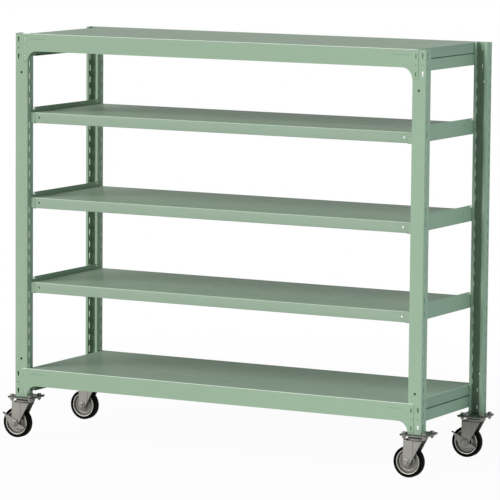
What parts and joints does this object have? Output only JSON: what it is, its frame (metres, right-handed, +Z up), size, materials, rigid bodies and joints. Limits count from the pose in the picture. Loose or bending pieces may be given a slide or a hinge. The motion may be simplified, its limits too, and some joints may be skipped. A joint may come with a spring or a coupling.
{
  "type": "mobile shelving",
  "caption": "Wide open steel shelving with level boards between four slotted channel posts, on swivel casters with brakes on two corners.",
  "frame": {"origin": "on the floor, under the middle of the bounding box, with the wheels trailing to the left", "axes": "+X along the boards to the right, +Y from the front to the rear, +Z up"},
  "size_m": [1.958, 0.642, 1.677],
  "materials": {
    "frame_paint": "semi-gloss grey-green paint on steel sheet",
    "boards": "gloss grey-green paint on steel sheet",
    "foot_plates": "semi-gloss grey-green paint on steel plate",
    "caster_steel": "dull zinc plating",
    "hubs": "dull zinc plating",
    "tyres": "matt black rubber"
  },
  "bodies": {
    "rack": {"post_front_left": "frame_paint", "post_front_right": "frame_paint", "post_rear_left": "frame_paint", "post_rear_right": "frame_paint", "top_front_beam": "frame_paint", "top_rear_beam": "frame_paint", "bottom_front_beam": "frame_paint", "bottom_rear_beam": "frame_paint", "top_board": "boards", "upper_board": "boards", "centre_board": "boards", "lower_board": "boards", "bottom_board": "boards", "top_board_rib": "boards", "upper_board_rib": "boards", "centre_board_rib": "boards", "lower_board_rib": "boards", "bottom_board_rib": "boards", "top_left_rail": "frame_paint", "top_right_rail": "frame_paint", "bottom_left_rail": "frame_paint", "bottom_right_rail": "frame_paint", "upper_left_bracket": "frame_paint", "upper_right_bracket": "frame_paint", "centre_left_bracket": "frame_paint", "centre_right_bracket": "frame_paint", "lower_left_bracket": "frame_paint", "lower_right_bracket": "frame_paint", "foot_plate_front_left": "foot_plates", "foot_plate_front_right": "foot_plates", "foot_plate_rear_left": "foot_plates", "foot_plate_rear_right": "foot_plates", "caster_plates": "caster_steel"},
    "front_left_fork": {"fork_front_left": "caster_steel"},
    "front_left_wheel": {"hub_front_left": "hubs", "tyre_front_left": "tyres"},
    "front_right_fork": {"fork_front_right": "caster_steel"},
    "front_right_wheel": {"hub_front_right": "hubs", "tyre_front_right": "tyres"},
    "rear_left_fork": {"fork_rear_left": "caster_steel"},
    "rear_left_wheel": {"hub_rear_left": "hubs", "tyre_rear_left": "tyres"},
    "rear_right_fork": {"fork_rear_right": "caster_steel"},
    "rear_right_wheel": {"hub_rear_right": "hubs", "tyre_rear_right": "tyres"},
    "front_left_brake": {"brake_lever_front_left": "caster_steel"},
    "rear_right_brake": {"brake_lever_rear_right": "caster_steel"}
  },
  "joints": [
    {"name": "front_left_swivel", "type": "hinge", "parent": "rack", "child": "front_left_fork", "pos_m": [-0.8795, -0.2685, 0.1525], "axis": [0, 0, 1], "continuous": true},
    {"name": "front_left_roll", "type": "hinge", "parent": "front_left_fork", "child": "front_left_wheel", "pos_m": [-0.9165, -0.2685, 0.0625], "axis": [0, 1, 0], "continuous": true},
    {"name": "front_right_swivel", "type": "hinge", "parent": "rack", "child": "front_right_fork", "pos_m": [0.9215, -0.2685, 0.1525], "axis": [0, 0, 1], "continuous": true},
    {"name": "front_right_roll", "type": "hinge", "parent": "front_right_fork", "child": "front_right_wheel", "pos_m": [0.8845, -0.2685, 0.0625], "axis": [0, 1, 0], "continuous": true},
    {"name": "rear_left_swivel", "type": "hinge", "parent": "rack", "child": "rear_left_fork", "pos_m": [-0.8795, 0.2685, 0.1525], "axis": [0, 0, 1], "continuous": true},
    {"name": "rear_left_roll", "type": "hinge", "parent": "rear_left_fork", "child": "rear_left_wheel", "pos_m": [-0.9165, 0.2685, 0.0625], "axis": [0, 1, 0], "continuous": true},
    {"name": "rear_right_swivel", "type": "hinge", "parent": "rack", "child": "rear_right_fork", "pos_m": [0.9215, 0.2685, 0.1525], "axis": [0, 0, 1], "continuous": true},
    {"name": "rear_right_roll", "type": "hinge", "parent": "rear_right_fork", "child": "rear_right_wheel", "pos_m": [0.8845, 0.2685, 0.0625], "axis": [0, 1, 0], "continuous": true},
    {"name": "front_left_brake_tip", "type": "hinge", "parent": "front_left_fork", "child": "front_left_brake", "pos_m": [-0.9165, -0.2685, 0.0625], "axis": [0, -1, 0], "range_deg": [0, 20]},
    {"name": "rear_right_brake_tip", "type": "hinge", "parent": "rear_right_fork", "child": "rear_right_brake", "pos_m": [0.8845, 0.2685, 0.0625], "axis": [0, -1, 0], "range_deg": [0, 20]}
  ]
}
